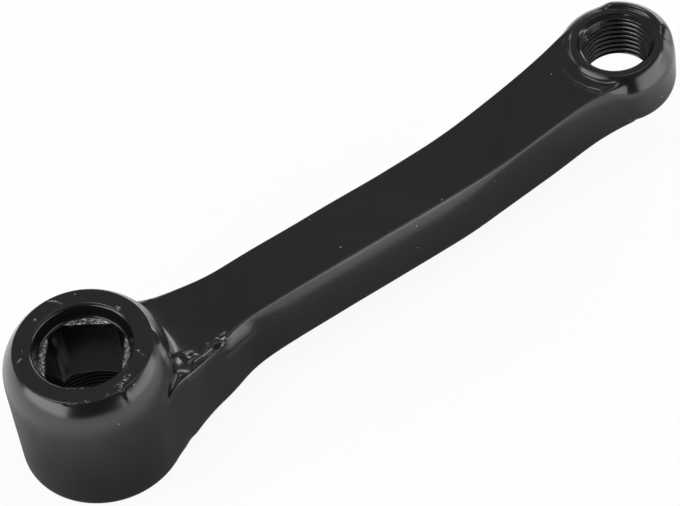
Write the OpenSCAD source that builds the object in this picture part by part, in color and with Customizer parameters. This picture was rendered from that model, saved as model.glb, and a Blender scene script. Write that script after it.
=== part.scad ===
// Left crank arm, one forged piece, seen with its frame side up.
// The origin is on the spindle axis in the plane of the boss's outer face.
// +Z runs along the spindle axis towards the frame, +X towards the pedal.

/* [Arm] */
// Spindle axis to pedal axis
crank_length = 120; // [100:1:175]
// Width of the flat face where it is narrowest
flat_w = 13; // [11:0.1:16]
// Width of the flat face just before it opens into the pedal eye
neck_w = 14; // [12:0.1:16]
// Width of the flat face where the heel leaves the boss
heel_w = 17; // [15:0.1:20]
// Spindle axis to the place where the heel has run out
heel_end = 37; // [34:0.5:45]
// How far the flat face rises towards the barrel that it runs into
root_rise = 1.3; // [0:0.1:2]
// Outer face of the boss up to the heel's underside
heel_step = 1.3; // [0.8:0.1:3]
// Inner face of the boss down to the arm's flat face
flat_drop = 10.65; // [8:0.05:13]
// How much lower the flat face lies where the arm dips most
dip = 1.1; // [0:0.1:3]
// Pedal axis back to the lowest place of the dip
dip_back = 42; // [38:0.5:48]
// Thickness of the arm
arm_t = 13.1; // [10:0.1:16]
// How far each side of the arm stands out past the flat face
side_bulge = 0.9; // [0.4:0.1:1.5]
// Height of the rounding that takes each side out, in the middle of the arm
side_round_h = 3.2; // [1.5:0.1:4]
// The same two sizes near the boss and the eye
end_bulge = 0.4; // [0.2:0.1:0.8]
end_round_h = 1.2; // [0.6:0.1:2.5]
// Rounding of the outer side's long edges
under_r = 1.5; // [0.8:0.1:3]

/* [Spindle boss] */
// Height of the boss, outer face to inner face
boss_h = 28.3; // [24:0.1:34]
// Diameter of the barrel below its shoulder
boss_d = 30.8; // [29.5:0.1:34]
// Diameter of the barrel at its foot
boss_foot_d = 30.5; // [29:0.1:34]
// Rounding of the foot
foot_r = 0.8; // [0.3:0.1:2]
// Diameter of the flat ring on the inner face
ring_d = 25.5; // [23:0.1:27]
// Height of the rounded shoulder under the ring
shoulder_h = 6.6; // [4:0.1:8]

/* [Spindle socket] */
// Diameter of the counterbore at its rim
rim_d = 19.3; // [18.5:0.1:21]
// Diameter of the counterbore at its floor
ledge_d = 17.4; // [17:0.1:18]
// Depth of the counterbore
ledge_depth = 3; // [2:0.1:4]
// Chamfer of the rim
rim_chamfer = 0.4; // [0.2:0.1:0.8]
// Square across its flats, at the counterbore floor
square_w = 13.9; // [13:0.05:14.2]
// Square across its corner flats, at the counterbore floor
square_corner_w = 17.2; // [16:0.1:18]
// Taper of each flat
square_taper = 2; // [1.5:0.1:2.5]
// Turn of a flat's normal from the arm's direction
square_turn = 53; // [0:1:89]

/* [Outer recess] */
// Thread diameter of the recess for the extractor
extractor_d = 22; // [20:0.1:23]
// Depth of the threaded wall
extractor_depth = 9; // [7:0.1:11]
// Full angle of the cone between the recess and the square
seat_angle = 118; // [90:1:140]
// Lead-in chamfer of the recess
extractor_chamfer = 0.3; // [0.1:0.1:0.5]

/* [Pedal eye] */
// Outer diameter of the eye
eye_d = 22.3; // [21.5:0.1:26]
// Height of the eye, outer face to inner face
eye_h = 11.6; // [10:0.1:15]
// Inner face of the boss down to the inner face of the eye
eye_drop = 6.1; // [4:0.1:9]
// Diameter of the faced pad on the inner side
pad_d = 17.3; // [16.5:0.1:19]
// Height of the pad
pad_h = 0.2; // [0.1:0.1:1]
// Rounding of the eye's inner edge
eye_shoulder_r = 2; // [0.8:0.1:2.2]
// Rounding of the eye's outer edge
eye_foot_r = 1.4; // [0.5:0.1:2]
// Diameter of the facing cut that the pedal's shoulder seats in
seat_d = 21; // [19:0.1:24]
// Major diameter of the pedal thread, nine sixteenths of an inch
thread_d = 14.29; // [12.7:0.01:15]
// Lead-in chamfer of the thread on the inner side
thread_chamfer_in = 0.2; // [0.1:0.05:0.5]
// Lead-in chamfer of the thread on the outer side
thread_chamfer_out = 0.2; // [0.1:0.05:1]

/* [Hidden] */
$fn = 96;
paint = "#1c1c1f";

// Longest step along the arm, and steps in a rounded corner
arm_step = 2.5;
corner_steps = 5;
arc_steps = 12;
// A cutting tool reaches this far past the face that it enters
past = 1;

// Heights above the outer face
ring_z = boss_h;
flat_z = boss_h - flat_drop;
dip_z = flat_z - dip;
eye_top_z = boss_h - eye_drop;
eye_foot_z = eye_top_z - eye_h;
ledge_z = boss_h - ledge_depth;

// The arm is a loft through these rows. A row holds its place along X, half the width of
// the flat face, half the width across the sides, the heights of the flat face and of the
// underside, and the height of the side rounding. A number added to a size is that row's
// own difference from it. The first and last rows lie inside the boss and the eye.
dip_x = crank_length - dip_back;
neck_x = crank_length - 20;
flat_r = flat_w / 2;
neck_r = neck_w / 2;
heel_r = heel_w / 2;
barrel_r = boss_d / 2;
eye_r = eye_d / 2;
bend_r = (flat_r + neck_r) / 2;
root_z = flat_z + root_rise;
waist_z = flat_z - dip * 0.35;
bend_z = dip_z + 0.6;
neck_z = eye_top_z - 2.95;
arm_rows = [
    [3, heel_r + 3, barrel_r - 1.8, root_z + root_rise * 0.9, heel_step - 0.6, end_round_h],
    [heel_end - 28, heel_r + 2, barrel_r - 2.7, root_z + root_rise * 0.7, heel_step - 0.5, end_round_h],
    [heel_end - 23, heel_r + 0.5, heel_r + 2.4, root_z, heel_step - 0.2, end_round_h],
    [heel_end - 19, heel_r, heel_r + 0.9, flat_z + root_rise * 0.2, heel_step, end_round_h],
    [heel_end - 13, flat_r + 0.8, flat_r + 1.5, flat_z, heel_step + 0.3, end_round_h],
    [heel_end - 7, flat_r, flat_r + end_bulge, flat_z, heel_step + 1.6, end_round_h],
    [heel_end, flat_r, flat_r + side_bulge * 0.8, flat_z, flat_z - arm_t - 0.35, side_round_h],
    [heel_end + 15, flat_r, flat_r + side_bulge, waist_z, waist_z - arm_t, side_round_h],
    [dip_x, flat_r + 0.1, flat_r + 0.1 + side_bulge, dip_z, dip_z - arm_t + 0.2, side_round_h],
    [neck_x - 12, bend_r, bend_r + end_bulge, bend_z, bend_z - arm_t, end_round_h],
    [neck_x, neck_r, neck_r + end_bulge, neck_z, neck_z - arm_t - 0.4, end_round_h],
    [neck_x + 7, neck_r + 0.45, neck_r + 1, eye_top_z - 1.5, eye_foot_z - 2.7, end_round_h],
    [neck_x + 13, eye_r - 2.65, eye_r - 2, eye_top_z - 0.9, eye_foot_z - 0.5, end_round_h],
    [neck_x + 18, eye_r - 0.9, eye_r - 0.5, eye_top_z - 0.8, eye_foot_z + 0.2, end_round_h]
];

function slope(rows, c, i) =
    let (a = max(i - 1, 0), b = min(i + 1, len(rows) - 1))
    (rows[b][c] - rows[a][c]) / (rows[b][0] - rows[a][0]);

function span(rows, x, i = 0) =
    i >= len(rows) - 2 || x < rows[i + 1][0] ? i : span(rows, x, i + 1);

// Value of column c at place x, on a smooth curve through the rows
function along(rows, c, x) =
    let (
        i = span(rows, x),
        h = rows[i + 1][0] - rows[i][0],
        t = (x - rows[i][0]) / h
    )
    (2 * t ^ 3 - 3 * t ^ 2 + 1) * rows[i][c]
    + (t ^ 3 - 2 * t ^ 2 + t) * h * slope(rows, c, i)
    + (3 * t ^ 2 - 2 * t ^ 3) * rows[i + 1][c]
    + (t ^ 3 - t ^ 2) * h * slope(rows, c, i + 1);

// Points of an arc about [x, z] from angle a to angle b
function arc(x, z, r, a, b, steps) =
    [for (k = [0 : steps]) let (q = a + (b - a) * k / steps) [x + r * cos(q), z + r * sin(q)]];

// Section of the arm at place x, from the +Y side upwards: an arc that rises from the
// side to the sharp edge of the flat face, its mirror image, and two rounded lower edges
function arm_section(x) =
    let (
        top_w = along(arm_rows, 1, x),
        side_w = along(arm_rows, 2, x),
        top_z = along(arm_rows, 3, x),
        low_z = along(arm_rows, 4, x),
        h = along(arm_rows, 5, x),
        out = side_w - top_w,
        r = (out ^ 2 + h ^ 2) / (2 * out),
        sweep = asin(h / r)
    )
    concat(
        arc(side_w - r, top_z - h, r, 0, sweep, corner_steps),
        arc(r - side_w, top_z - h, r, 180 - sweep, 180, corner_steps),
        arc(under_r - side_w, low_z + under_r, under_r, 180, 270, corner_steps),
        arc(side_w - under_r, low_z + under_r, under_r, 270, 360, corner_steps)
    );

module arm() {
    start = arm_rows[0][0];
    end = arm_rows[len(arm_rows) - 1][0];
    steps = ceil((end - start) / arm_step);
    n = 4 * (corner_steps + 1);
    points = [
        for (i = [0 : steps]) let (x = start + (end - start) * i / steps)
            for (p = arm_section(x)) [x, p[0], p[1]]
    ];
    sides = [
        for (i = [0 : steps - 1]) for (j = [0 : n - 1])
            let (a = i * n + j, b = i * n + (j + 1) % n, c = b + n, d = a + n)
                for (f = [[a, d, c], [a, c, b]]) f
    ];
    first = [for (j = [0 : n - 1]) j];
    last = [for (j = [0 : n - 1]) steps * n + n - 1 - j];
    polyhedron(points = points, faces = concat(sides, [first, last]));
}

// Barrel with a rounded foot, and a shoulder that is an arc from the barrel to the ring
module boss() {
    run = barrel_r - ring_d / 2;
    shoulder_r = (run ^ 2 + shoulder_h ^ 2) / (2 * run);
    sweep = asin(shoulder_h / shoulder_r);
    rotate_extrude()
        polygon(concat(
            [[0, 0]],
            arc(boss_foot_d / 2 - foot_r, foot_r, foot_r, -90, 0, arc_steps),
            arc(barrel_r - shoulder_r, ring_z - shoulder_h, shoulder_r, 0, sweep, arc_steps),
            [[0, ring_z]]
        ));
}

// Round eye with a faced pad on its inner side
module eye() {
    pad_flank = 0.4;
    shoulder_z = eye_top_z - pad_h;
    translate([crank_length, 0, 0])
        rotate_extrude()
            polygon(concat(
                [[0, eye_foot_z]],
                arc(eye_r - eye_foot_r, eye_foot_z + eye_foot_r, eye_foot_r, -90, 0, arc_steps),
                arc(eye_r - eye_shoulder_r, shoulder_z - eye_shoulder_r, eye_shoulder_r, 0, 90, arc_steps),
                [[pad_d / 2 + pad_flank, shoulder_z], [pad_d / 2, eye_top_z], [0, eye_top_z]]
            ));
}

// Counterbore on the frame side, slightly conical, with a chamfered rim
module counterbore() {
    draft = 0.45;
    rotate_extrude()
        polygon([
            [0, ledge_z],
            [ledge_d / 2 - draft, ledge_z],
            [ledge_d / 2, ledge_z + draft],
            [rim_d / 2 - rim_chamfer, ring_z - rim_chamfer],
            [rim_d / 2, ring_z],
            [rim_d / 2, ring_z + past],
            [0, ring_z + past]
        ]);
}

// Wedge whose two sloping sides are w apart at the counterbore floor
module taper(w, turn) {
    lean = tan(square_taper);
    top = w / 2 + past * lean;
    low = w / 2 - ledge_z * lean;
    rotate([0, 0, turn])
        rotate([90, 0, 0])
            linear_extrude(height = 2 * boss_d, center = true)
                polygon([[-low, 0], [low, 0], [top, ledge_z + past], [-top, ledge_z + past]]);
}

// Tapered square with flat corners
module square_socket() {
    intersection() {
        taper(square_w, square_turn);
        taper(square_w, square_turn + 90);
        taper(square_corner_w, square_turn + 45);
        taper(square_corner_w, square_turn + 135);
    }
}

// Flat cut round the pedal hole on the outer side
module pedal_seat() {
    translate([crank_length, 0, eye_foot_z - eye_h])
        cylinder(h = eye_h, d = seat_d);
}

// Threaded recess on the outer side, and the cone that the bolt's washer seats on
module outer_recess() {
    r = extractor_d / 2;
    rotate_extrude()
        polygon([
            [0, -past],
            [r + extractor_chamfer, -past],
            [r + extractor_chamfer, 0],
            [r, extractor_chamfer],
            [r, extractor_depth],
            [0, extractor_depth + r / tan(seat_angle / 2)]
        ]);
}

module pedal_thread() {
    r = thread_d / 2;
    translate([crank_length, 0, 0])
        rotate_extrude()
            polygon([
                [0, eye_foot_z - past],
                [r + thread_chamfer_out, eye_foot_z - past],
                [r + thread_chamfer_out, eye_foot_z],
                [r, eye_foot_z + thread_chamfer_out],
                [r, eye_top_z - thread_chamfer_in],
                [r + thread_chamfer_in, eye_top_z],
                [r + thread_chamfer_in, eye_top_z + past],
                [0, eye_top_z + past]
            ]);
}

module crank_arm() {
    color(paint)
        difference() {
            union() {
                boss();
                arm();
                eye();
            }
            counterbore();
            square_socket();
            outer_recess();
            pedal_seat();
            pedal_thread();
        }
}

crank_arm();
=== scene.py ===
"""Left crank arm: a painted forging with its cut threads, on a pale floor in soft light."""

import math
from typing import NamedTuple

import bmesh
import bpy
import numpy as np
from bpy.props import (
    FloatProperty,
    FloatVectorProperty,
    IntProperty,
    PointerProperty,
    StringProperty,
)
from bpy.types import Operator, Panel, PropertyGroup
from mathutils import Matrix, Vector, noise


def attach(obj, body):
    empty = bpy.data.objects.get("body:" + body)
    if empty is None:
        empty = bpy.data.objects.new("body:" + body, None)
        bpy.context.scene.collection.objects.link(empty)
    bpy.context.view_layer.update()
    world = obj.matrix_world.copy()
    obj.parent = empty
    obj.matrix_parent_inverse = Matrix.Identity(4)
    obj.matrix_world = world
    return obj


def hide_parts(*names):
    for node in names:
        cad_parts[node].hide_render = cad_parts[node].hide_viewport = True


bl_info = {
    "name": "Crank Arm",
    "version": (1, 0, 0),
    "blender": (4, 5, 0),
    "location": "3D View > Sidebar > Crank Arm",
    "description": "Builds a painted left crank arm round its packed solid",
    "category": "Add Mesh",
}

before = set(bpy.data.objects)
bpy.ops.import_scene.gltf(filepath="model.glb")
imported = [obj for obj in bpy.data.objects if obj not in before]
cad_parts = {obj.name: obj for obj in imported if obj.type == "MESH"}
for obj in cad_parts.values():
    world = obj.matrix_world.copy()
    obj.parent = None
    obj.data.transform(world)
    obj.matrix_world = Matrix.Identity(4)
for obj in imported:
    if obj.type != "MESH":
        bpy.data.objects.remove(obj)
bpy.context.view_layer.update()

# Millimetres to metres. The shape is worked out in millimetres.
MM = 0.001

# Quads round the boss and round the eye, and how many of them the arm takes up
TURN_STEPS = 64
ARM_STEPS = 22
# Rows of quads down each side of the arm
SIDE_ROWS = 8
LOOP_LENGTH = 2 * (ARM_STEPS + SIDE_ROWS)

# Place of the pedal axis along X. The spindle axis stands at zero.
PEDAL_X = 120

# Heights above the boss's outer face, as in the solid
RING_Z = 28.3
LEDGE_Z = 25.3
EYE_TOP_Z = 22.2
EYE_FOOT_Z = 10.6
# Ends of the barrel's straight side
BARREL_FOOT_Z = 0.8
SHOULDER_Z = 21.7

# Radii of the solid
LEDGE_R = 8.1
BARREL_R = 15.4
FOOT_R = 15.25
EYE_R = 11.15
SEAT_R = 10.5
# Rounding of the barrel's shoulder
SHOULDER_R = 9.543
# Middle of the ledge round the socket
LEDGE_MIDDLE_R = 7.75
# Where the arm's flat face meets the eye, inside the rounding of its side
FACE_EDGE_R = 10.4

# Threads: crest, root and mouth of the chamfer
PEDAL_CREST_R = 6.46
PEDAL_ROOT_R = 7.145
PEDAL_MOUTH_R = 7.345
EXTRACTOR_CREST_R = 10.46
EXTRACTOR_ROOT_R = 10.8
EXTRACTOR_MOUTH_R = 11.3
EXTRACTOR_DEPTH = 8.9

# Square socket, measured at the ledge: turn about the spindle axis in degrees, width
# across the flats and across the cut corners, and how far each wall leans in per mm
SOCKET_TURN = 53.0
SOCKET_FLATS = 13.9
SOCKET_CORNERS = 17.2
SOCKET_LEAN = math.tan(math.radians(2))
# Half the angle that a flat of the socket spans
FLAT_SPAN = math.degrees(
    math.atan2(SOCKET_CORNERS / math.sqrt(2) - SOCKET_FLATS / 2, SOCKET_FLATS / 2)
)

# Recess in the outer face, and how much the cone above it rises per mm inwards
RECESS_R = 11.0
RECESS_DEPTH = 9.0
CONE_RISE = 1 / math.tan(math.radians(59))

# How far the support loops lie from the arm's lower edges and from its crisp upper ones
LOW_MARGIN = 1.4
TOP_MARGIN = 0.28

# Rows of the arm: place along X, half width of the flat face, half width across the
# sides, heights of the flat face and of the underside, height of the side rounding
ARM_ROWS = (
    (3, 11.5, 13.6, 20.12, 0.7, 1.2),
    (9, 10.5, 12.7, 19.86, 0.8, 1.2),
    (14, 9.0, 10.9, 18.95, 1.1, 1.2),
    (18, 8.5, 9.4, 17.91, 1.3, 1.2),
    (24, 7.3, 8.0, 17.65, 1.6, 1.2),
    (30, 6.5, 6.9, 17.65, 2.9, 1.2),
    (37, 6.4, 7.3, 17.65, 4.2, 3.2),
    (52, 6.35, 7.45, 17.27, 4.17, 3.2),
    (78, 6.45, 7.55, 16.55, 3.65, 3.2),
    (88, 6.75, 7.15, 17.15, 4.05, 1.2),
    (100, 7.0, 7.4, 19.25, 5.75, 1.2),
    (107, 7.4, 8.0, 20.7, 7.9, 2.0),
    (113, 8.5, 9.3, 21.3, 10.1, 2.6),
    (118, 10.1, 10.95, 21.4, 10.8, 2.8),
)
# Loops between the boss and the eye that lie square to the arm
ARM_PLACES = (
    23.2, 24.8, 26.6, 28.6, 31, 34, 37, 41, 45, 50, 55, 60, 65, 70, 75, 80, 84, 88, 92, 96, 100, 103.5,
)
# Loops that still follow the barrel or the eye: distance from it, share of a square
# loop, and the place of that square loop
BOSS_FRONTS = ((0.4, 0.0, 0.0), (1.5, 0.0, 0.0), (2.8, 0.15, 19.0), (4.2, 0.4, 20.6), (5.4, 0.7, 22.0))
EYE_FRONTS = ((4.0, 0.6, 106.0), (2.6, 0.25, 107.5), (1.2, 0.0, 0.0), (0.35, 0.0, 0.0))


def linear(code):
    """An sRGB hex colour as the linear colour that a socket takes."""
    channels = [int(code[i:i + 2], 16) / 255 for i in (1, 3, 5)]
    return (*[c / 12.92 if c <= 0.04045 else ((c + 0.055) / 1.055) ** 2.4 for c in channels], 1.0)


def add(tree, kind, settings=None, links=None):
    """Adds a node, sets its properties or sockets by name, and links its inputs."""
    node = tree.nodes.new(kind)
    for key, value in (settings or {}).items():
        if isinstance(key, int) or key in node.inputs:
            node.inputs[key].default_value = value
        else:
            setattr(node, key, value)
    for key, source in (links or {}).items():
        tree.links.new(source, node.inputs[key])
    return node


def smooth_step(low, high, value):
    t = min(max((value - low) / (high - low), 0.0), 1.0)
    return t * t * (3 - 2 * t)


def along(column, x):
    """Value of one column of the arm's rows at place x, on a smooth curve."""
    rows = ARM_ROWS
    last = len(rows) - 1
    i = max([k for k in range(last) if rows[k][0] <= x], default=0)

    def slope(k):
        a, b = max(k - 1, 0), min(k + 1, last)
        return (rows[b][column] - rows[a][column]) / (rows[b][0] - rows[a][0])

    h = rows[i + 1][0] - rows[i][0]
    t = min((x - rows[i][0]) / h, 1.0)
    return (
        (2 * t ** 3 - 3 * t ** 2 + 1) * rows[i][column]
        + (t ** 3 - 2 * t ** 2 + t) * h * slope(i)
        + (3 * t ** 2 - 2 * t ** 3) * rows[i + 1][column]
        + (t ** 3 - t ** 2) * h * slope(i + 1)
    )


def across(steps, half, margin):
    """Places from -half to half: both ends, a support loop near each, even between."""
    inner = half - margin
    middle = [-inner + 2 * inner * k / (steps - 2) for k in range(steps - 1)]
    return [-half, *middle, half]


def arm_point(place, x, sharp):
    """Point of the arm's section, numbered from the flat face's -Y edge round by +Y."""
    top_w, side_w, top_z, low_z, h = (along(c, x) for c in range(1, 6))
    out = side_w - top_w
    bend = (out ** 2 + h ** 2) / (2 * out)
    sweep = math.asin(min(h / bend, 1.0))
    if place <= ARM_STEPS:
        return across(ARM_STEPS, top_w, sharp)[place], top_z
    if place < ARM_STEPS + SIDE_ROWS:
        row, sign = place - ARM_STEPS, 1
    elif place <= 2 * ARM_STEPS + SIDE_ROWS:
        return -across(ARM_STEPS, side_w, LOW_MARGIN)[place - ARM_STEPS - SIDE_ROWS], low_z
    else:
        row, sign = LOOP_LENGTH - place, -1
    # Three rows lie on the rounding and the rest on the plain side
    if row <= 3:
        share = (sharp / h, 0.55, 1.0)[row - 1]
        turn = math.asin(min(h * (1 - min(share, 1.0)) / bend, math.sin(sweep)))
        return sign * (side_w - bend * (1 - math.cos(turn))), top_z - h + bend * math.sin(turn)
    high, low = top_z - h, low_z + LOW_MARGIN
    return sign * side_w, high + (low - high) * (row - 3) / (SIDE_ROWS - 4)


def octagon(angle, flats, corners):
    """Radius at an angle of a square that is flats across, with corner flats."""
    m = (angle - SOCKET_TURN + 45) % 90 - 45
    return min(
        flats / 2 / math.cos(math.radians(m)),
        corners / 2 / math.cos(math.radians(45 - abs(m))),
    )


def cone_z(radius):
    """Height at a radius of the cone between the recess and the socket."""
    return RECESS_DEPTH + (RECESS_R - radius) * CONE_RISE


def socket_radius(angle, z):
    """Distance of the socket's wall from the axis. The socket narrows downwards."""
    less = 2 * (LEDGE_Z - z) * SOCKET_LEAN
    return octagon(angle, SOCKET_FLATS - less, SOCKET_CORNERS - less)


def socket_foot(angle):
    """Radius and height where the socket's wall meets the recess's cone."""
    z = 11.0
    for _ in range(12):
        z = cone_z(socket_radius(angle, z))
    return socket_radius(angle, z), z


def socket_angle(step):
    """Angle of a step round the socket, slid so that every corner gets a vertex."""
    corners = []
    for k in range(-1, 5):
        for side in (-1, 1):
            exact = SOCKET_TURN + 90 * k + side * FLAT_SPAN
            corners.append((round(exact / 360 * TURN_STEPS), exact))
    for (a, low), (b, high) in zip(corners, corners[1:]):
        if a <= step <= b:
            return low + (high - low) * (step - a) / (b - a)
    return step * 360 / TURN_STEPS


def barrel_r(z):
    """Radius of the barrel, which is a little narrower at its foot."""
    return FOOT_R + (BARREL_R - FOOT_R) * (z - BARREL_FOOT_Z) / (SHOULDER_Z - BARREL_FOOT_Z)


def arc_points(centre_r, centre_z, radius, angles):
    """Radius and height of points on a round stretch of a profile."""
    return [
        (centre_r + radius * math.cos(math.radians(a)), centre_z + radius * math.sin(math.radians(a)))
        for a in angles
    ]


# Profiles that are spun about the two axes: name, radius and height of each ring. The
# socket's rings are bent into the square afterwards.
BOSS_RINGS = [
    ("socket_foot", 6.50, 11.40), ("socket_low", 6.52, 11.70), ("socket_mid", 6.7, 18.0),
    ("socket_high", 6.90, 24.95), ("socket_lip", 6.94, 25.22), ("ledge_in", 7.1, LEDGE_Z),
    ("ledge_mid", 7.8, LEDGE_Z), ("ledge_out", LEDGE_R, LEDGE_Z), ("wall_foot", 8.4, 25.42),
    ("wall_low", 8.68, 25.8), ("wall_mid", 8.95, 26.8), ("wall_top", 9.2, 27.75),
    ("chamfer_in", 9.28, 27.95), ("chamfer_out", 9.58, 28.24), ("ring_in", 9.72, RING_Z),
    ("ring_a", 10.4, RING_Z), ("ring_b", 11.9, RING_Z), ("ring_out", 12.55, RING_Z),
    ("ring_edge", 12.76, 28.26),
    *[(f"shoulder_{k}", r, z) for k, (r, z) in enumerate(
        arc_points(BARREL_R - SHOULDER_R, SHOULDER_Z, SHOULDER_R, (42.3, 36, 28, 19, 10, 0)))],
    *[(f"side_{k}", barrel_r(z), z) for k, z in enumerate(
        (19.7, 17.6, 15.2, 12.6, 9.8, 7.0, 4.4, 2.2, BARREL_FOOT_Z))],
    ("foot_round", 15.0, 0.22), ("foot_edge", 14.5, 0.0), ("face_a", 13.2, 0.0),
    ("face_b", 11.7, 0.0), ("recess_edge", 11.34, 0.03), ("recess_chamfer", 11.1, 0.26),
    ("recess_wall", 11.07, 1.0), ("recess_deep", 11.07, 8.3), ("recess_corner", 11.04, 8.95),
    ("cone_a", 10.6, cone_z(10.6)), ("cone_b", 8.9, cone_z(8.9)), ("cone_c", 7.2, cone_z(7.2)),
]

EYE_RINGS = [
    ("bore_high", 7.42, 21.7), ("bore_lip", 7.35, 22.16), ("pad_in", 7.41, EYE_TOP_Z),
    ("pad_a", 7.7, EYE_TOP_Z), ("pad_b", 8.15, EYE_TOP_Z), ("pad_edge", 8.6, 22.17),
    ("flank_a", 8.75, 22.08), ("flank_b", 8.98, 21.98), ("flank_foot", 9.3, 21.85),
    ("side_0", 9.75, 21.63), ("side_1", 10.4, 21.2), ("side_2", 10.95, 20.45), ("side_3", EYE_R, 19.4),
    ("side_4", EYE_R, 18.0), ("side_5", EYE_R, 16.2), ("side_6", EYE_R, 14.2),
    ("side_7", EYE_R, 12.2), ("side_8", 10.65, 10.93), ("seat_wall", 9.95, EYE_FOOT_Z),
    ("seat_out", 9.5, EYE_FOOT_Z), ("seat_mid", 8.4, EYE_FOOT_Z), ("seat_in", 7.46, EYE_FOOT_Z),
    ("bore_chamfer", 7.36, 10.62), ("bore_low", 7.42, 10.9), ("bore_mid", 7.42, 16.0),
]


def spin_rings(bm, rings, centre_x):
    """Spins a closed profile about a vertical axis. Returns the vertices by name and step."""
    layer = bm.verts.layers.int["ring"]
    made = []
    for k, (_, r, z) in enumerate(rings):
        v = bm.verts.new((centre_x + r, 0, z))
        v[layer] = k + 1
        made.append(v)
    edges = [bm.edges.new(pair) for pair in zip(made, made[1:] + made[:1])]
    before = {v for v in bm.verts if v not in made}
    bmesh.ops.spin(
        bm, geom=made + edges, cent=(centre_x, 0, 0), axis=(0, 0, 1),
        angle=2 * math.pi, steps=TURN_STEPS, use_merge=True,
    )
    grid = {}
    for v in bm.verts:
        if v in before:
            continue
        angle = math.degrees(math.atan2(v.co.y, v.co.x - centre_x))
        grid[rings[v[layer] - 1][0], round(angle / 360 * TURN_STEPS) % TURN_STEPS] = v
    return grid


def put(vert, centre_x, angle, radius, z):
    """Places a vertex by direction in degrees, radius and height about an upright axis."""
    a =math.radians(angle)
    vert.co = (centre_x + radius * math.cos(a), radius * math.sin(a), z)


def shape_socket(grid):
    """Turns the round rings inside the boss into the tapered square."""
    for step in range(TURN_STEPS):
        angle = socket_angle(step)
        foot_r, foot_z = socket_foot(angle)
        lip = socket_radius(angle, LEDGE_Z)
        put(grid["cone_c", step], 0, angle, foot_r + 0.3, cone_z(foot_r + 0.3))
        put(grid["socket_foot", step], 0, angle, foot_r, foot_z)
        for name, z in (("socket_low", foot_z + 0.3), ("socket_mid", 18.0), ("socket_high", 24.9)):
            put(grid[name, step], 0, angle, socket_radius(angle, z), z)
        put(grid["socket_lip", step], 0, angle, lip + 0.02, LEDGE_Z - 0.1)
        put(grid["ledge_in", step], 0, angle, lip + 0.14, LEDGE_Z)
        put(grid["ledge_mid", step], 0, angle, max((lip + LEDGE_R) / 2, lip + 0.22), LEDGE_Z)


def shape_seat(grid):
    """Makes the facing cut's wall where the arm's underside reaches past the eye."""
    for step in range(TURN_STEPS):
        angle = step * 360 / TURN_STEPS
        # Straight towards the arm this comes out as 360, so that one step isn't moved
        off = abs((angle + 180) % 360 - 180 - 180) if angle <= 180 else abs(angle - 180)
        share = 1 - smooth_step(44, 70, off)
        lip_x = PEDAL_X - SEAT_R * math.cos(math.radians(off))
        low_z = along(4, lip_x)
        for name, r, z in (
            ("side_8", SEAT_R + 0.06, low_z), ("seat_wall", SEAT_R - 0.02, EYE_FOOT_Z - 0.02),
            ("seat_out", SEAT_R - 0.3, EYE_FOOT_Z),
        ):
            v = grid[name, step]
            was_r, was_z = math.hypot(v.co.x - PEDAL_X, v.co.y), v.co.z
            put(v, PEDAL_X, angle, was_r + (r - was_r) * share, was_z + (z - was_z) * share)


# Forms round the pad: middle and half of the directions from the pedal axis that each
# takes up, how soon it fades out, and radius and height of the rings that it moves
PAD_FORMS = (
    # The near side falls away from the pad's edge in one long rounding
    (-76, 40, 14, {
        "flank_a": (8.72, 22.05), "flank_b": (8.95, 21.88), "flank_foot": (9.27, 21.5),
        "side_0": (9.7, 20.85), "side_1": (10.25, 20.0), "side_2": (10.8, 19.15),
        "side_3": (11.13, 18.3), "side_4": (EYE_R, 17.4),
    }),
    # The pad steps down to the arm
    (180, 40, 21, {
        "pad_edge": (8.55, 22.17), "flank_a": (8.72, 22.0), "flank_b": (9.08, 21.4),
        "flank_foot": (9.5, 21.02), "side_0": (10.05, 21.02), "side_1": (10.4, 21.2),
        "side_2": (10.95, 20.45),
    }),
    # The forging stands proud of the pad
    (20, 38, 13, {
        "pad_b": (7.95, 22.2), "pad_edge": (8.3, 22.26), "flank_a": (8.5, 22.6),
        "flank_b": (8.85, 22.95), "flank_foot": (9.15, 23.05), "side_0": (9.6, 22.9),
        "side_1": (10.4, 22.25), "side_2": (11.0, 21.2),
    }),
)


def shape_pad(grid):
    """Bends the rings round the pad into the forms that lie on its different sides."""
    for middle, half, fade, rings in PAD_FORMS:
        for step in range(TURN_STEPS):
            angle = step * 360 / TURN_STEPS
            share = 1 - smooth_step(half, half + fade, abs((angle - middle + 180) % 360 - 180))
            for name, (to_r, to_z) in rings.items():
                v = grid[name, step]
                r, z = math.hypot(v.co.x - PEDAL_X, v.co.y), v.co.z
                put(v, PEDAL_X, angle, r + (to_r - r) * share, z + (to_z - z) * share)


def turn_of(step):
    """Direction of a step round a grid, from -180 up to 180 degrees."""
    return (step + TURN_STEPS / 2) % TURN_STEPS * 360 / TURN_STEPS - 180


def pull_together(grid, rings):
    """Slides ring vertices round the barrel, so that the arm's upper corners sit closer."""
    limit = ARM_STEPS / 2 * 360 / TURN_STEPS
    for name, share in rings:
        for step in range(TURN_STEPS):
            v = grid[name, step]
            angle = turn_of(step)
            if abs(angle) <= limit:
                turned = angle * share
            else:
                back = smooth_step(limit, 2 * limit, abs(angle))
                turned = angle - math.copysign(limit * (1 - share) * (1 - back), angle)
            put(v, 0, turned, math.hypot(v.co.x, v.co.y), v.co.z)


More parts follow.
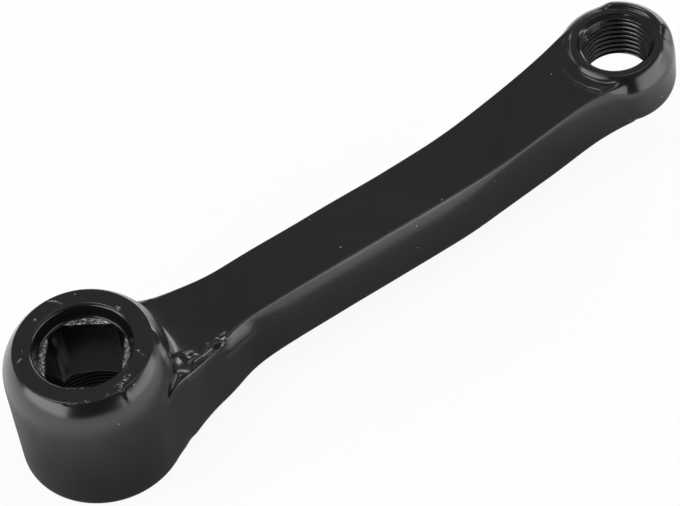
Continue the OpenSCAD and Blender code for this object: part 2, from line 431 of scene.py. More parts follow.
def open_patch(bm, grid, middle):
    """Cuts the hole that the arm grows from, and returns its rim in the arm's order."""
    half = ARM_STEPS // 2
    faces = set()
    for row in range(SIDE_ROWS):
        for k in range(-half, half):
            corners = {
                grid[f"side_{row + a}", (middle + k + b) % TURN_STEPS] for a in (0, 1) for b in (0, 1)
            }
            faces.update(f for f in next(iter(corners)).link_faces if set(f.verts) == corners)
    flip = 1 if middle == 0 else -1

    def at(row, k):
        return grid[f"side_{row}", (middle + flip * k) % TURN_STEPS]

    rim = [at(0, k) for k in range(-half, half + 1)]
    rim += [at(row, half) for row in range(1, SIDE_ROWS)]
    rim += [at(SIDE_ROWS, k) for k in range(half, -half - 1, -1)]
    rim += [at(row, -half) for row in range(SIDE_ROWS - 1, 0, -1)]
    bmesh.ops.delete(bm, geom=list(faces), context="FACES")
    return rim


def front_x(place, y, reach, share, square_x):
    """X of a loop that follows the barrel or the eye at one end and is square at the other."""
    if square_x and share == 1.0:
        return square_x
    if reach > 0:
        curve = math.sqrt(max(BARREL_R ** 2 - y ** 2, 0.0)) + reach
    else:
        radius = EYE_R
        if place <= ARM_STEPS:
            radius = FACE_EDGE_R + (EYE_R - FACE_EDGE_R) * abs(2 * place / ARM_STEPS - 1) ** 4
        elif ARM_STEPS + SIDE_ROWS <= place <= 2 * ARM_STEPS + SIDE_ROWS:
            radius = SEAT_R + 0.1
        curve = PEDAL_X - math.sqrt(max(radius ** 2 - y ** 2, 0.0)) + reach
    return curve * (1 - share) + square_x * share


def place_loop(verts, reach, share, square_x, sharp):
    """Lays a loop round the arm. X is found in rounds, because the section depends on it."""
    near_boss, near_eye, rounds = 14.0, 110.0, 24
    for place, v in enumerate(verts):
        x = square_x or (near_boss if reach > 0 else near_eye)
        for _ in range(rounds):
            y, _z = arm_point(place, x, sharp)
            x = 0.5 * x + 0.5 * front_x(place, y, reach, share, square_x)
        y, z = arm_point(place, x, sharp)
        v.co = (x, y, z)


def grow_arm(bm, rim, goal):
    """Extrudes the boss's rim loop by loop along the arm and welds it to the eye's rim."""
    layer = bm.verts.layers.int["place"]
    for place, v in enumerate(rim):
        v[layer] = place + 1
    # The upper edges start softer at the barrel
    loops = [(reach, share, x, 0.3 + 0.5 * (1 - share)) for reach, share, x in BOSS_FRONTS]
    loops += [(1.0, 1.0, x, TOP_MARGIN) for x in ARM_PLACES]
    loops += [(-reach, share, x, TOP_MARGIN) for reach, share, x in EYE_FRONTS]
    current = rim
    for spec in loops + [None]:
        edges = [bm.edges.get(pair) for pair in zip(current, current[1:] + current[:1])]
        made = bmesh.ops.extrude_edge_only(bm, edges=edges)["geom"]
        fresh = [v for v in made if isinstance(v, bmesh.types.BMVert)]
        current = sorted(fresh, key=lambda v: v[layer])
        if spec:
            place_loop(current, *spec)
    bmesh.ops.weld_verts(bm, targetmap=dict(zip(current, goal)))


def crease_socket(bm, grid, amount):
    """Keeps the eight upright edges of the square socket crisp."""
    layer = bm.edges.layers.float["crease_edge"]
    names = ("socket_foot", "socket_low", "socket_mid", "socket_high", "socket_lip", "ledge_in")
    for k in range(4):
        for side in (-1, 1):
            step = round((SOCKET_TURN + 90 * k + side * FLAT_SPAN) / 360 * TURN_STEPS) % TURN_STEPS
            for a, b in zip(names, names[1:]):
                bm.edges.get((grid[a, step], grid[b, step]))[layer] = amount


class Mark(NamedTuple):
    """A trace of forging, trimming or wear along a line on the body, in millimetres.

    reach is how far it goes to each side, height how far it stands out (below zero: how deep
    it is), rough how much that varies along it, and bare how much steel shows through.
    """

    line: tuple
    reach: float
    height: float
    rough: float = 0.0
    bare: float = 0.0


# Near corner, far corner and top line where the barrel runs softly into the heel: line,
# reach and passes of smoothing
BLENDS = (
    (((12.6, -9.9, 18.0), (12.0, -10.2, 15.0), (11.5, -10.7, 9.0), (11.2, -11.0, 4.0)), 3.2, 70),
    (((12.6, 9.9, 18.0), (12.0, 10.2, 15.0), (11.5, 10.7, 9.0), (11.2, 11.0, 4.0)), 3.2, 70),
    (((13.6, -8.0, 19.0), (15.2, -3.0, 19.4), (15.2, 3.0, 19.4), (13.6, 8.0, 19.0)), 1.8, 20),
)
FLASH = (
    # Crinkled remains of the trimmed flash along the flat face's near edge
    Mark(((15.6, -6.8, 18.4), (18.0, -7.8, 17.9), (21.0, -7.6, 17.7), (24.2, -7.0, 17.65)),
         1.8, 0.1, 0.9),
    Mark(((14.0, -10.4, 17.6), (16.5, -9.9, 17.2), (19, -9.1, 17.1), (22.5, -8.4, 17.2),
          (24.6, -7.5, 17.5)), 1.1, 0.45, 0.3),
    Mark(((17.0, -9.0, 17.8), (20.0, -8.5, 17.5), (22.4, -8.0, 17.5)), 0.6, -0.3, 0.1),
    Mark(((23.2, -8.1, 17.3), (23.9, -8.0, 17.2)), 0.55, -0.4, 0.3, 0.5),
    # Parting line that climbs the boss from there to the ring
    Mark(((12.3, -5.6, 28.0), (11.6, -7.5, 26.9), (11.5, -9.1, 25.2), (11.6, -10.1, 22.7),
          (12.5, -10.3, 20.0), (13.9, -10.2, 17.8)), 1.3, 0.4, 0.1),
    # Swelling on the near flank where the heel runs out
    Mark(((25.0, -7.9, 14.8), (29.2, -7.2, 14.8)), 2.5, 0.85),
    # The same edge on the far side, and a low rise where the facing cutter ran out
    Mark(((17.0, 8.4, 18.0), (18.6, 8.3, 17.8)), 0.8, 0.3, 0.4),
    Mark(((108.3, 1.6, 21.0), (108.3, -1.6, 21.0), (109.2, -4.8, 21.1), (110.7, -7.3, 21.1)),
         0.6, 0.16),
)
# Line round the ledge, with a point at each quarter of a radian
LEDGE_LINE = tuple(
    (LEDGE_MIDDLE_R * math.cos(a / 4), LEDGE_MIDDLE_R * math.sin(a / 4), LEDGE_Z) for a in range(26)
)
CHIPS = (
    # Cutter streaks that the thin coat leaves bright on the ledge
    Mark(LEDGE_LINE, 0.85, 0.0, 0.12, 0.5),
    # Scratches and chips on the ring
    Mark(((0.7, 12.5, 28.3), (1.6, 11.6, 28.3), (2.3, 10.3, 28.3)), 0.32, -0.1, 0.05, 0.5),
    Mark(((-3.6, 10.6, 28.3), (-3.3, 10.1, 28.3)), 0.32, -0.1, 0.05, 0.6),
    Mark(((-8.9, 6.1, 28.3), (-9.4, 5.4, 28.3)), 0.25, -0.08, 0.0, 0.5),
    Mark(((-9.6, 4.6, 28.3), (-10.3, 4.5, 28.3), (-11.3, 4.2, 28.3)), 0.28, -0.1, 0.05, 0.5),
    Mark(((5.3, 9.9, 28.3), (5.4, 9.5, 28.3)), 0.3, -0.08, 0.0, 0.2),
    Mark(((7.5, 8.1, 28.3), (7.6, 7.7, 28.3)), 0.3, -0.08, 0.0, 0.2),
    Mark(((9.4, 3.2, 28.25), (9.8, 2.5, 28.25)), 0.5, -0.2, 0.1, 0.3),
    Mark(((7.2, -7.2, 28.3), (7.5, -8.1, 28.3), (7.5, -8.9, 28.3)), 0.32, -0.12, 0.0, 0.5),
    Mark(((-2.1, -12.0, 28.3), (-2.8, -12.2, 28.3)), 0.3, -0.12, 0.05, 0.45),
    Mark(((-6.1, -10.5, 28.3), (-6.3, -11.0, 28.3)), 0.3, -0.1, 0.0, 0.4),
    Mark(((-9.4, -9.0, 28.2), (-8.7, -9.6, 28.2), (-7.9, -10.2, 28.2)), 0.3, -0.12, 0.05, 0.45),
    Mark(((12.2, 4.7, 28.2), (12.3, 4.3, 28.2)), 0.3, -0.12, 0.0, 0.5),
    # Torn nick through the ring's near side, with a run of thick paint beside it
    Mark(((2.5, -11.3, 28.3), (1.2, -11.1, 28.3), (-0.3, -11.3, 28.3)), 0.8, -0.3, 0.6, 0.3),
    Mark(((1.0, -11.3, 28.3), (0.2, -12.5, 28.2)), 0.7, -0.25, 0.6, 0.3),
    Mark(((4.4, -8.4, 27.9), (3.2, -9.2, 28.2), (2.2, -9.9, 28.3)), 0.8, 0.15, 0.4, 0.2),
    Mark(((0.4, -12.9, 28.1), (0.6, -13.9, 27.0), (0.9, -14.6, 25.5)), 0.7, 0.15, 0.1),
    # Broaching marks on the socket's corner flat that faces the near side
    Mark(((-1.9, 8.2, 21.2), (0.3, 8.5, 20.2)), 0.45, -0.35, 0.1),
    Mark(((-0.9, 8.2, 16.1), (0.1, 8.3, 15.7)), 0.4, -0.3, 0.1),
    Mark(((-0.9, 8.2, 14.7), (0.2, 8.3, 14.2)), 0.4, -0.3, 0.1),
    Mark(((-1.3, 8.1, 13.4), (-0.3, 8.2, 13.0)), 0.4, -0.3, 0.1),
    # Nick at the pad's edge
    Mark(((115.9, -8.6, 21.9), (115.6, -8.9, 21.8)), 0.35, -0.15, 0.1, 0.6),
)
# Size of the lumps that rough gives, and size and height of the forging's own unevenness
LUMP = 1.5
SWELL, SWELL_HEIGHT = 9.0, 0.07


def smooth_out(obj):
    """Replaces a cage by its smoothed surface, so that marks can be worked into it."""
    graph = bpy.context.evaluated_depsgraph_get()
    smooth = bpy.data.meshes.new_from_object(obj.evaluated_get(graph))
    obj.modifiers.clear()
    obj.data = smooth


def line_distance(places, line):
    """Distance of many places from a line of several points."""
    nearest = np.full(len(places), np.inf)
    for start, end in zip(line, line[1:]):
        start, run = np.array(start), np.array(end) - np.array(start)
        share = np.clip((places - start) @ run / (run @ run), 0, 1)
        nearest = np.minimum(nearest, np.linalg.norm(places - start - share[:, None] * run, axis=1))
    return nearest


def soften(obj, line, reach, passes):
    """Smooths the surface round a line, most of all on it, into a soft blend."""
    mesh = obj.data
    places = np.empty(len(mesh.vertices) * 3)
    mesh.vertices.foreach_get("co", places)
    places = places.reshape(-1, 3)
    ends = np.empty(len(mesh.edges) * 2, dtype=np.int32)
    mesh.edges.foreach_get("vertices", ends)
    share = np.clip(1 - (line_distance(places / MM, line) / reach) ** 2, 0, 1) * 0.9
    pairs = ends.reshape(-1, 2)
    a, b = pairs[share[pairs].max(axis=1) > 0].T
    count = np.maximum(np.bincount(a, minlength=len(places)) + np.bincount(b, minlength=len(places)), 1)
    for _ in range(passes):
        total = np.zeros_like(places)
        np.add.at(total, a, places[b])
        np.add.at(total, b, places[a])
        places += share[:, None] * (total / count[:, None] - places)
    mesh.vertices.foreach_set("co", places.ravel())
    mesh.update()


def work_marks(obj, marks):
    """Moves the surface in and out along the marks and stores where steel shows."""
    mesh = obj.data
    count = len(mesh.vertices)
    places, normals = np.empty(count * 3), np.empty(count * 3)
    mesh.vertices.foreach_get("co", places)
    mesh.vertices.foreach_get("normal", normals)
    places, normals = places.reshape(-1, 3) / MM, normals.reshape(-1, 3)
    rise, bare = np.zeros(count), np.zeros(count)
    for mark in marks:
        distance = line_distance(places, mark.line)
        near = np.flatnonzero(distance < mark.reach)
        fade = (1 - (distance[near] / mark.reach) ** 2) ** 2
        lumps = np.array([noise.noise(Vector(places[i]) / LUMP) for i in near])
        rise[near] += fade * (mark.height + mark.rough * lumps)
        bare[near] = np.maximum(bare[near], np.sqrt(fade) * mark.bare)
    swell = np.array([noise.noise(Vector(place) / SWELL) for place in places])
    rise += SWELL_HEIGHT * swell * forged_share(places)
    mesh.vertices.foreach_set("co", ((places + normals * rise[:, None]) * MM).ravel())
    mesh.attributes.new("bare_steel", "FLOAT", "POINT").data.foreach_set("value", bare)
    mesh.update()


def forged_share(places):
    """1 on the forged skin and 0 on the faces, bores and seats that were cut."""
    ring_edge, boss_fade, boss_reach = 12.9, 1.5, 16
    pad_edge, eye_fade, seat_fade, eye_reach = 9.2, 1.2, 1.0, 12
    x, y, z = places.T
    to_boss, to_eye = np.hypot(x, y), np.hypot(x - PEDAL_X, y)
    boss = np.clip((to_boss - ring_edge) / boss_fade, 0, 1) * np.clip(z / boss_fade, 0, 1)
    eye = np.clip((to_eye - pad_edge) / eye_fade, 0, 1) * np.clip((z - EYE_FOOT_Z) / seat_fade, 0, 1)
    return np.where(to_boss < boss_reach, boss, np.where(to_eye < eye_reach, eye, 1.0))


def finish_mesh(bm, name, material):
    """Turns a bmesh in millimetres into a smooth object in metres that rides on the root."""
    bmesh.ops.recalc_face_normals(bm, faces=bm.faces[:])
    bmesh.ops.scale(bm, vec=(MM, MM, MM), verts=bm.verts[:])
    for f in bm.faces:
        f.smooth = True
    mesh = bpy.data.meshes.new(name)
    bm.to_mesh(mesh)
    bm.free()
    mesh.materials.append(material)
    obj = bpy.data.objects.new(name, mesh)
    bpy.context.collection.objects.link(obj)
    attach(obj, "root")
    return obj


def object_point(tree):
    return add(tree, "ShaderNodeTexCoord").outputs["Object"]


def new_material(name):
    material = bpy.data.materials.new(name)
    material.use_nodes = True
    tree = material.node_tree
    tree.nodes.clear()
    return material, tree


def radius_from(tree, point, centre_x):
    """Distance in metres from the upright axis at centre_x, which is in millimetres."""
    moved = add(
        tree, "ShaderNodeVectorMath", {"operation": "SUBTRACT", 1: (centre_x * MM, 0, 0)}, {0: point},
    )
    flat = add(
        tree, "ShaderNodeVectorMath", {"operation": "MULTIPLY", 1: (1, 1, 0)}, {0: moved.outputs[0]},
    )
    length = add(tree, "ShaderNodeVectorMath", {"operation": "LENGTH"}, {0: flat.outputs[0]})
    return length.outputs["Value"]


def sprayed_black_enamel(props):
    """Sprayed black enamel over a shot-blasted forging: nearly black, glossy, faintly pebbled.

    It has worn or chipped through to steel at the marks and on the sharp edge of the ledge,
    and a little dust has stuck to it.
    """
    material, tree = new_material("sprayed_black_enamel")
    point = object_point(tree)
    # Orange peel of the sprayed coat, about 1.2 mm, over the forging's 6 mm unevenness
    peel = add(tree, "ShaderNodeTexNoise", {"Scale": 1 / (1.2 * MM), "Detail": 2.0}, {"Vector": point})
    forging = add(tree, "ShaderNodeTexNoise", {"Scale": 1 / (6 * MM), "Detail": 1.0}, {"Vector": point})
    coarse = add(
        tree, "ShaderNodeBump", {"Strength": 0.12, "Distance": 0.0006},
        {"Height": forging.outputs["Fac"]},
    )
    fine = add(
        tree, "ShaderNodeBump", {"Strength": 0.06, "Distance": 0.0002},
        {"Height": peel.outputs["Fac"], "Normal": coarse.outputs[0]},
    )
    shade = add(
        tree, "ShaderNodeMapRange", {"To Min": 0.16, "To Max": 0.28}, {"Value": forging.outputs["Fac"]},
    )
    # Specks of dust, one in each cell where the surface happens to cut it
    speck, cell = 0.3, 4.5
    cells = add(tree, "ShaderNodeTexVoronoi", {"Scale": 1 / (cell * MM)}, {"Vector": point})
    dust = add(
        tree, "ShaderNodeMath", {"operation": "LESS_THAN", 1: speck / 2 / cell},
        {0: cells.outputs["Distance"]},
    )
    colour = add(
        tree, "ShaderNodeMix",
        {"data_type": "RGBA", 6: linear(props.paint_colour), 7: linear(props.dust_colour)},
        {0: dust.outputs[0]},
    )
    paint = add(
        tree, "ShaderNodeBsdfPrincipled", {"IOR": 1.5, "Specular Tint": (0.95, 0.965, 1.0, 1.0)},
        {"Base Color": colour.outputs[2], "Roughness": shade.outputs[0], "Normal": fine.outputs[0]},
    )
    # Chips break up at about 0.4 mm
    grain = add(tree, "ShaderNodeTexNoise", {"Scale": 1 / (0.4 * MM), "Detail": 3.0}, {"Vector": point})
    bare = add(tree, "ShaderNodeAttribute", {"attribute_name": "bare_steel"})
    broken = add(
        tree, "ShaderNodeMath", {"operation": "ADD"}, {0: bare.outputs["Fac"], 1: grain.outputs["Fac"]},
    )
    chipped = add(
        tree, "ShaderNodeMapRange", {"From Min": 0.85, "From Max": 1.05}, {"Value": broken.outputs[0]},
    )
    steel = add(
        tree, "ShaderNodeBsdfPrincipled",
        {"Base Color": linear(props.steel_colour), "Metallic": 1.0, "Roughness": 0.35},
    )
    mix = add(
        tree, "ShaderNodeMixShader", None,
        {0: chipped.outputs[0], 1: paint.outputs[0], 2: steel.outputs[0]},
    )
    add(tree, "ShaderNodeOutputMaterial", None, {"Surface": mix.outputs[0]})
    return material


def painted_thread(props, name, centre_x, crest_r, worn_share, roughness):
    """Cut thread under a thick coat, rubbed through to steel in places on the crests.

    centre_x and crest_r are in millimetres. worn_share is how much steel the crests show.
    """
    material, tree = new_material(name)
    point = object_point(tree)
    radius = radius_from(tree, point, centre_x)
    # The wear ends this far down the flanks
    worn_depth = 0.22
    crest = add(
        tree, "ShaderNodeMapRange",
        {
            "From Min": (crest_r + worn_depth) * MM, "From Max": crest_r * MM,
            "To Min": 0.0, "To Max": worn_share,
        },
        {"Value": radius},
    )
    # Worn patches of about 2.5 mm
    patches = add(tree, "ShaderNodeTexNoise", {"Scale": 1 / (2.5 * MM), "Detail": 3.0}, {"Vector": point})
    worn = add(
        tree, "ShaderNodeMath", {"operation": "MULTIPLY"},
        {0: crest.outputs[0], 1: patches.outputs["Fac"]},
    )
    paint = add(
        tree, "ShaderNodeBsdfPrincipled",
        {"Base Color": linear(props.paint_colour), "IOR": 1.5, "Roughness": roughness},
    )
    steel = add(
        tree, "ShaderNodeBsdfPrincipled",
        {"Base Color": linear(props.steel_colour), "Metallic": 1.0, "Roughness": 0.3},
    )
    mix = add(
        tree, "ShaderNodeMixShader", None,
        {0: worn.outputs[0], 1: paint.outputs[0], 2: steel.outputs[0]},
    )
    add(tree, "ShaderNodeOutputMaterial", None, {"Surface": mix.outputs[0]})
    return material


# Soft boxes: name, direction from the object's middle as azimuth and elevation, distance,
# width, height and radiance
LAMPS = (
    ("box_right", -50, 9, 0.9, 1.25, 0.34, 4.0),
    ("box_left", 180, 12, 0.9, 0.95, 0.4, 5.0),
    ("box_behind", 38, 12, 0.9, 0.65, 0.48, 4.0),
    ("box_over", -20, 72, 0.9, 0.45, 0.45, 2.0),
    ("box_high_left", 150, 66, 0.9, 0.35, 0.35, 6.0),
)
# Direction in which the room is lightest, and how nearly a direction points that way
# (1 right at it, -1 away from it) where the room is darkest and where it is lightest
ROOM_LIGHTEST = (0.2, 0.61, 0.77)
ROOM_DARK_FROM, ROOM_LIGHT_FROM = -0.4, 0.8
# Share of open sky over the floor right beside the object, and well away from it, over which the painted
# shade on the floor's glow in reflections fades out
SKY_NEAR, SKY_FAR = 0.86, 0.98


def white_paper_sweep(props):
    """Matt white paper: nearly white to the camera and glowing in reflections, where a painted
    shade, taken from ambient occlusion round the object, dims the glow."""
    material, tree = new_material("white_paper_sweep")
    path = add(tree, "ShaderNodeLightPath")
    seen = add(
        tree, "ShaderNodeMath", {"operation": "ADD", "use_clamp": True},
        {0: path.outputs["Is Camera Ray"], 1: path.outputs["Is Transmission Ray"]},
    )
    share = add(
        tree, "ShaderNodeMath", {"operation": "MULTIPLY_ADD", 1: props.floor_glow},
        {0: seen.outputs[0], 2: path.outputs["Is Glossy Ray"]},
    )
    # Painted shade: ambient occlusion round the object, not lamplight, dims the floor's glow in
    # reflections
    open_sky = add(tree, "ShaderNodeAmbientOcclusion", {"samples": 8, "Distance": props.painted_shade_reach})
    shade = add(
        tree, "ShaderNodeMapRange",
        {
            "From Min": SKY_NEAR, "From Max": SKY_FAR,
            "To Min": props.floor_painted_shade, "To Max": props.floor_far,
        },
        {"Value": open_sky.outputs["AO"]},
    )
    strength = add(
        tree, "ShaderNodeMix", {"data_type": "FLOAT", 2: 1.0},
        {0: path.outputs["Is Glossy Ray"], 3: shade.outputs[0]},
    )
    paper = add(
        tree, "ShaderNodeBsdfPrincipled",
        {"Base Color": linear(props.floor_colour), "Roughness": 0.9},
    )
    glow = add(tree, "ShaderNodeEmission", {"Color": (1, 1, 1, 1)}, {"Strength": strength.outputs[0]})
    mix = add(
        tree, "ShaderNodeMixShader", None,
        {0: share.outputs[0], 1: paper.outputs[0], 2: glow.outputs[0]},
    )
    add(tree, "ShaderNodeOutputMaterial", None, {"Surface": mix.outputs[0]})
    return material


def soft_room(props):
    """Pale room for the camera, and a dimmer one for the object: lightest high up behind it,
    darkest where the camera and its operator stand."""
    world = bpy.data.worlds.new("soft_room")
    world.use_nodes = True
    tree = world.node_tree
    tree.nodes.clear()
    path = add(tree, "ShaderNodeLightPath")
    seen = add(
        tree, "ShaderNodeMath", {"operation": "ADD", "use_clamp": True},
        {0: path.outputs["Is Camera Ray"], 1: path.outputs["Is Transmission Ray"]},
    )
    direction = add(tree, "ShaderNodeTexCoord").outputs["Generated"]
    lean = add(
        tree, "ShaderNodeVectorMath", {"operation": "DOT_PRODUCT", 1: ROOM_LIGHTEST}, {0: direction},
    )
    level = add(
        tree, "ShaderNodeMapRange",
        {
            "From Min": ROOM_DARK_FROM, "From Max": ROOM_LIGHT_FROM,
            "To Min": props.room_dark, "To Max": props.room_light,
        },
        {"Value": lean.outputs["Value"]},
    )
    strength = add(
        tree, "ShaderNodeMix", {"data_type": "FLOAT", 3: 1.0}, {0: seen.outputs[0], 2: level.outputs[0]},
    )
    room = add(tree, "ShaderNodeBackground", {"Color": (1, 1, 1, 1)}, {"Strength": strength.outputs[0]})
    add(tree, "ShaderNodeOutputWorld", None, {"Surface": room.outputs[0]})
    return world


class CrankBodyProperties(PropertyGroup):
    subdivisions: IntProperty(
        name="Subdivisions", description="How finely the forging is smoothed", default=2, min=1, max=3,
    )
    socket_crease: FloatProperty(
        name="Socket crease", description="Sharpness of the upright edges in the square socket",
        default=0.75, min=0, max=1,
    )


class ThreadProperties(PropertyGroup):
    pedal_pitch: FloatProperty(
        name="Pedal thread pitch", description="Rise of the pedal thread in one turn",
        default=1.27 * MM, unit="LENGTH", precision=5,
    )
    pedal_hand: IntProperty(
        name="Pedal thread hand", description="-1 for the left-hand thread of a left crank, 1 for right",
        default=-1, min=-1, max=1,
    )
    recess_pitch: FloatProperty(
        name="Extractor thread pitch", description="Rise of the extractor thread in one turn",
        default=1.0 * MM, unit="LENGTH", precision=5,
    )


class FinishProperties(PropertyGroup):
    paint_colour: StringProperty(
        name="Paint", description="sRGB colour of the black enamel", default="#121214",
    )
    dust_colour: StringProperty(
        name="Dust", description="sRGB colour of the specks of dust", default="#8a8a88",
    )
    steel_colour: StringProperty(
        name="Steel", description="sRGB colour of the bare steel", default="#a9a8a6",
    )


class StudioProperties(PropertyGroup):
    camera_place: FloatVectorProperty(
        name="Camera", description="Where the camera stands", subtype="TRANSLATION", size=3,
        default=(-0.1528, -0.3886, 0.5612),
    )
    camera_aim: FloatVectorProperty(
        name="Aim", description="The point in the middle of the frame", subtype="TRANSLATION", size=3,
        default=(0.04788, -0.01242, 0.0283),
    )
    camera_roll: FloatProperty(
        name="Roll", description="Turn of the camera about its line of sight", subtype="ANGLE",
        default=math.radians(-9.066),
    )
    lens: FloatProperty(
        name="Lens", description="Focal length on a 36 mm wide sensor", default=200.2, unit="CAMERA",
    )
    floor_colour: StringProperty(
        name="Floor", description="sRGB colour of the paper", default="#f2f2f2",
    )
    floor_glow: FloatProperty(
        name="Floor glow", description="Share of plain white in what the camera sees of the floor",
        default=0.92, min=0, max=1,
    )
    # Painted shade on the floor's glow in reflections: how far round the object it reaches, the glow at
    # its darkest beside the object, and the glow away from it
    painted_shade_reach: FloatProperty(
        name="Shade reach", description="How far round the object its shade dims the reflected floor",
        default=0.06, min=0, unit="LENGTH",
    )
    floor_painted_shade: FloatProperty(
        name="Floor, near", description="Brightness in reflections close to the object",
        default=0.25, min=0,
    )
    floor_far: FloatProperty(
        name="Floor, far", description="Brightness in reflections away from the object",
        default=1.9, min=0,
    )
    room_light: FloatProperty(
        name="Room, lightest", description="Brightness high up behind the object", default=0.36, min=0,
    )
    room_dark: FloatProperty(
        name="Room, darkest", description="Brightness behind the camera", default=0.04, min=0,
    )


def build_body(props, finish):
    """Builds the cage of the forging, smooths it and works in the traces of its making."""
    bm = bmesh.new()
    bm.verts.layers.int.new("ring")
    bm.verts.layers.int.new("place")
    bm.edges.layers.float.new("crease_edge")
    boss = spin_rings(bm, BOSS_RINGS, 0)
    shape_socket(boss)
    pull_together(
        boss, (("shoulder_4", 0.96), ("shoulder_5", 0.88), ("side_0", 0.8), ("side_1", 0.92)),
    )
    eye = spin_rings(bm, EYE_RINGS, PEDAL_X)
    shape_seat(eye)
    shape_pad(eye)
    crease_socket(bm, boss, props.socket_crease)
    rim = open_patch(bm, boss, 0)
    goal = open_patch(bm, eye, TURN_STEPS // 2)
    grow_arm(bm, rim, goal)
    body = finish_mesh(bm, "crank_arm_forging", sprayed_black_enamel(finish))
    smooth = body.modifiers.new("Smooth forging", "SUBSURF")
    smooth.levels = props.subdivisions
    smooth.render_levels = props.subdivisions
    smooth_out(body)
    for blend in BLENDS:
        soften(body, *blend)
    work_marks(body, FLASH + CHIPS)
    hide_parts("crank_arm")
    return body


def clog(place, radius, crest_r):
    """Radius of the pedal thread where paint has filled its first turns on one side."""
    middle, full, end = 93, 10, 38
    clear_z, full_z = 16.5, 20.0
    skin_depth, waves, waves_per_mm = 0.12, 0.3, 0.35
    turn = math.degrees(math.atan2(place.y, place.x))
    filled = (1 - smooth_step(full, end, abs(turn - middle))) * smooth_step(clear_z, full_z, place.z)
    skin = crest_r + skin_depth + waves * noise.noise(place * waves_per_mm)
    return radius + (skin - radius) * filled


def build_thread(name, material, centre_x, crest_r, root_r, pitch, hand, low, high, clogged=False):
    """Internal thread as a screw of one groove, opened by the chamfers at both ends.

    low and high are the height of each end and its radius there. Where paint lies thick in
    the groove, root_r is the radius that it leaves.
    """
    per_pitch, per_turn = 16, 72
    # Above 1, this flattens the wave at crest and root
    flatness = 1.3
    turns =math.ceil((high[0] - low[0]) / pitch) + 2
    start = low[0] - pitch if hand > 0 else high[0] + pitch
    middle, depth = (crest_r + root_r) / 2, (root_r - crest_r) / 2
    bm = bmesh.new()
    profile = []
    for k in range(per_pitch + 1):
        wave = max(-1.0, min(1.0, flatness * math.cos(2 * math.pi * k / per_pitch)))
        profile.append(bm.verts.new((middle + depth * wave, 0, start + pitch * k / per_pitch)))
    edges = [bm.edges.new(pair) for pair in zip(profile, profile[1:])]
    bmesh.ops.spin(
        bm, geom=profile + edges, axis=(0, 0, 1), dvec=(0, 0, hand * pitch / per_turn),
        angle=2 * math.pi * turns, steps=per_turn * turns,
    )
    bmesh.ops.remove_doubles(bm, verts=bm.verts[:], dist=pitch / 100)
    for v in bm.verts:
        radius = math.hypot(v.co.x, v.co.y)
        limit = max(low[1] - (v.co.z - low[0]), high[1] - (high[0] - v.co.z))
        wanted = max(clog(v.co, radius, crest_r) if clogged else radius, limit)
        v.co.x *= wanted / radius
        v.co.y *= wanted / radius
    for z, up in ((low[0], -1), (high[0], 1)):
        bmesh.ops.bisect_plane(
            bm, geom=bm.verts[:] + bm.edges[:] + bm.faces[:], plane_co=(0, 0, z),
            plane_no=(0, 0, up), clear_outer=True,
        )
    bmesh.ops.translate(bm, vec=(centre_x, 0, 0), verts=bm.verts[:])
    piece = finish_mesh(bm, name, material)
    piece.data.flip_normals()
    return piece


class CRANK_OT_body(Operator):
    """Builds the forged body: boss with its square socket, arm and pedal eye"""

    bl_idname = "crank.body"
    bl_label = "Forged body"

    def execute(self, context):
        build_body(context.scene.crank_body, context.scene.crank_finish)
        return {"FINISHED"}


class CRANK_OT_threads(Operator):
    """Cuts the pedal thread and the extractor thread"""

    bl_idname = "crank.threads"
    bl_label = "Threads"

    def execute(self, context):
        thread, finish = context.scene.crank_thread, context.scene.crank_finish
        build_thread(
            "pedal_thread",
            painted_thread(finish, "painted_pedal_thread", PEDAL_X, PEDAL_CREST_R, 0.45, 0.14),
            PEDAL_X, PEDAL_CREST_R, PEDAL_ROOT_R, thread.pedal_pitch / MM, thread.pedal_hand,
            (EYE_FOOT_Z, PEDAL_MOUTH_R), (EYE_TOP_Z, PEDAL_MOUTH_R), clogged=True,
        )
        build_thread(
            "extractor_thread",
            painted_thread(finish, "painted_extractor_thread", 0, EXTRACTOR_CREST_R, 0.1, 0.6),
            0, EXTRACTOR_CREST_R, EXTRACTOR_ROOT_R, thread.recess_pitch / MM, 1,
            (0.0, EXTRACTOR_MOUTH_R), (EXTRACTOR_DEPTH, EXTRACTOR_MOUTH_R),
        )
        return {"FINISHED"}


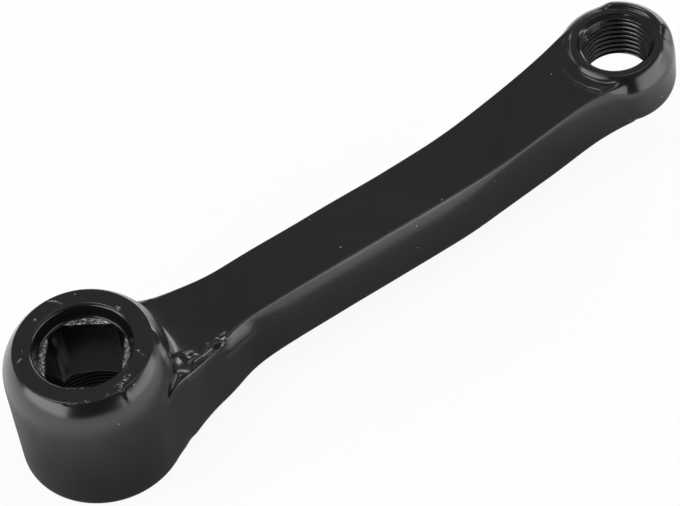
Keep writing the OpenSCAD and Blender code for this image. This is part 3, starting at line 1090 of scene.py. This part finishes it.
class CRANK_OT_studio(Operator):
    """Sets up the floor, the lamps, the world and the camera"""

    bl_idname = "crank.studio"
    bl_label = "Studio"

    def execute(self, context):
        scene, props = context.scene, context.scene.crank_studio
        scene.view_settings.view_transform = "Standard"

        bm = bmesh.new()
        bmesh.ops.create_grid(bm, x_segments=1, y_segments=1, size=3.0)
        mesh = bpy.data.meshes.new("floor")
        bm.to_mesh(mesh)
        bm.free()
        mesh.materials.append(white_paper_sweep(props))
        floor = bpy.data.objects.new("floor", mesh)
        floor.location.z = -0.0001
        scene.collection.objects.link(floor)

        scene.world = soft_room(props)

        for name, azimuth, elevation, distance, width, height, radiance in LAMPS:
            lamp = bpy.data.lights.new(name, "AREA")
            lamp.shape = "RECTANGLE"
            lamp.size, lamp.size_y = width, height
            lamp.energy = radiance * math.pi * width * height
            obj = bpy.data.objects.new(name, lamp)
            a, e = math.radians(azimuth), math.radians(elevation)
            away = Vector((math.cos(a) * math.cos(e), math.sin(a) * math.cos(e), math.sin(e)))
            obj.location = Vector(props.camera_aim) + away * distance
            obj.rotation_mode = "QUATERNION"
            obj.rotation_quaternion = (-away).to_track_quat("-Z", "Y")
            obj.visible_camera = False
            scene.collection.objects.link(obj)

        camera = bpy.data.cameras.new("camera")
        camera.lens = props.lens
        camera.sensor_width = 36.0
        camera.sensor_fit = "HORIZONTAL"
        camera.clip_start, camera.clip_end = 0.01, 20.0
        obj = bpy.data.objects.new("camera", camera)
        place, aim = Vector(props.camera_place), Vector(props.camera_aim)
        turn = (aim - place).to_track_quat("-Z", "Y").to_matrix()
        roll = Matrix.Rotation(props.camera_roll, 3, "Z")
        obj.matrix_world = Matrix.Translation(place) @ (turn @ roll).to_4x4()
        scene.collection.objects.link(obj)
        scene.camera = obj
        return {"FINISHED"}


class CRANK_PT_panel(Panel):
    bl_label = "Crank Arm"
    bl_idname = "CRANK_PT_panel"
    bl_space_type = "VIEW_3D"
    bl_region_type = "UI"
    bl_category = "Crank Arm"

    def draw(self, context):
        scene = context.scene
        for operator in (CRANK_OT_body, CRANK_OT_threads, CRANK_OT_studio):
            self.layout.operator(operator.bl_idname)
        for group in (scene.crank_body, scene.crank_thread, scene.crank_finish, scene.crank_studio):
            box = self.layout.box()
            for name in group.__annotations__:
                box.prop(group, name)


CLASSES = (
    CrankBodyProperties, ThreadProperties, FinishProperties, StudioProperties,
    CRANK_OT_body, CRANK_OT_threads, CRANK_OT_studio, CRANK_PT_panel,
)


def register():
    for cls in CLASSES:
        bpy.utils.register_class(cls)
    bpy.types.Scene.crank_body = PointerProperty(type=CrankBodyProperties)
    bpy.types.Scene.crank_thread = PointerProperty(type=ThreadProperties)
    bpy.types.Scene.crank_finish = PointerProperty(type=FinishProperties)
    bpy.types.Scene.crank_studio = PointerProperty(type=StudioProperties)


def unregister():
    for name in ("crank_studio", "crank_finish", "crank_thread", "crank_body"):
        delattr(bpy.types.Scene, name)
    for cls in reversed(CLASSES):
        bpy.utils.unregister_class(cls)


def main():
    register()
    bpy.ops.crank.studio()
    bpy.ops.crank.body()
    bpy.ops.crank.threads()


if __name__ == "__main__":
    main()
